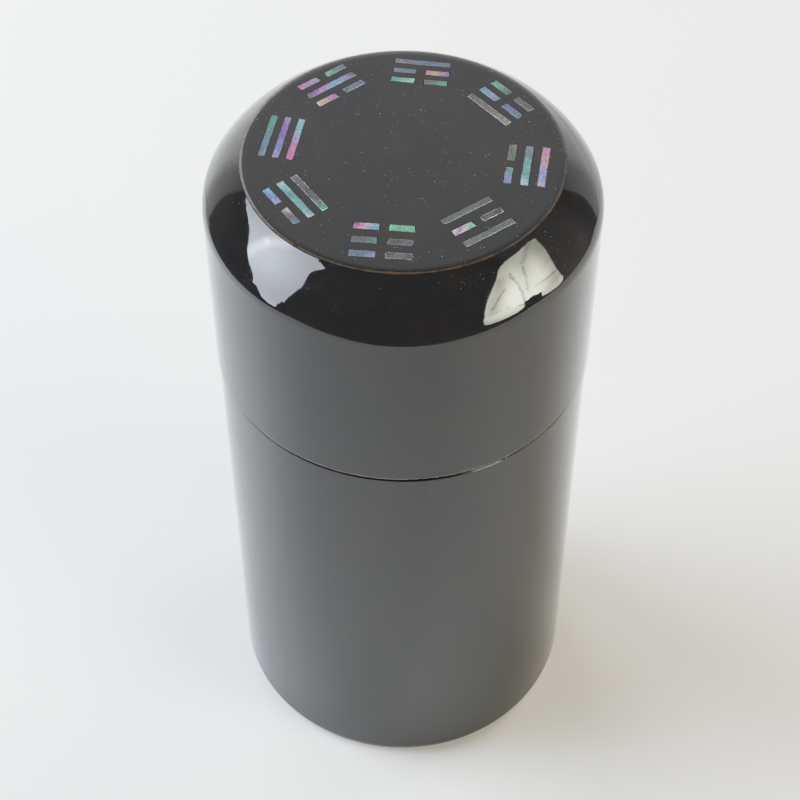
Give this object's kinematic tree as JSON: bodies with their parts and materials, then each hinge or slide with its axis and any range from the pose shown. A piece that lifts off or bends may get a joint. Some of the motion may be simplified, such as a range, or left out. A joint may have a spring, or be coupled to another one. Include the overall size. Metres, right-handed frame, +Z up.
{
  "type": "tea caddy",
  "caption": "Tall round black-lacquered tea caddy with a deep slip-over lid, a knobbed inner lid, and trigrams in mother-of-pearl on the flat top.",
  "frame": {"origin": "centre of the foot's resting plane, on the caddy's axis", "axes": "+Z up along the turned axis, -Y towards the front, +X to the right as seen from the front"},
  "size_m": [0.07, 0.07, 0.141],
  "materials": {
    "lacquer_body": "black lacquer on turned wood, polished, fine wear on the edges",
    "lacquer_lid": "black lacquer on turned wood, polished, brown wear line round the flat top",
    "lacquer_collar": "black lacquer on thin turned wood, satin where the lid rubs",
    "lacquer_inner_lid": "black lacquer on turned wood, satin",
    "nacre_green": "polished mother-of-pearl, green",
    "nacre_aqua": "polished mother-of-pearl, aqua and teal",
    "nacre_blue": "polished mother-of-pearl, steel blue",
    "nacre_violet": "polished mother-of-pearl, violet and blue",
    "nacre_pink": "polished mother-of-pearl, pink to lavender",
    "nacre_grey": "polished mother-of-pearl, dull grey green"
  },
  "bodies": {
    "body": {"body_shell": "lacquer_body", "mouth_collar": "lacquer_collar"},
    "inner_lid": {"inner_lid_disc": "lacquer_inner_lid", "inner_lid_knob": "lacquer_inner_lid"},
    "lid": {"lid_shell": "lacquer_lid", "shell_heaven_inner": "nacre_pink", "shell_heaven_middle": "nacre_violet", "shell_heaven_outer": "nacre_aqua", "shell_water_inner_left": "nacre_pink", "shell_water_inner_right": "nacre_grey", "shell_water_middle": "nacre_violet", "shell_water_outer_left": "nacre_pink", "shell_water_outer_right": "nacre_green", "shell_mountain_inner_left": "nacre_green", "shell_mountain_inner_right": "nacre_aqua", "shell_mountain_middle_left": "nacre_blue", "shell_mountain_middle_right": "nacre_pink", "shell_mountain_outer": "nacre_blue", "shell_thunder_inner": "nacre_grey", "shell_thunder_middle_left": "nacre_aqua", "shell_thunder_middle_right": "nacre_violet", "shell_thunder_outer_left": "nacre_grey", "shell_thunder_outer_right": "nacre_grey", "shell_wind_inner_left": "nacre_grey", "shell_wind_inner_right": "nacre_violet", "shell_wind_middle": "nacre_aqua", "shell_wind_outer": "nacre_pink", "shell_fire_inner": "nacre_grey", "shell_fire_middle_left": "nacre_grey", "shell_fire_middle_right": "nacre_pink", "shell_fire_outer": "nacre_grey", "shell_earth_inner_left": "nacre_green", "shell_earth_inner_right": "nacre_pink", "shell_earth_middle_left": "nacre_blue", "shell_earth_middle_right": "nacre_aqua", "shell_earth_outer_left": "nacre_grey", "shell_earth_outer_right": "nacre_blue", "shell_lake_inner": "nacre_grey", "shell_lake_middle": "nacre_aqua", "shell_lake_outer_left": "nacre_grey", "shell_lake_outer_right": "nacre_blue"}
  },
  "joints": [
    {"name": "inner_lid_lift", "type": "slide", "parent": "body", "child": "inner_lid", "axis": [0, 0, 1], "range_m": [0, 0.025]},
    {"name": "lid_lift", "type": "slide", "parent": "inner_lid", "child": "lid", "axis": [0, 0, 1], "range_m": [0, 0.06]}
  ]
}
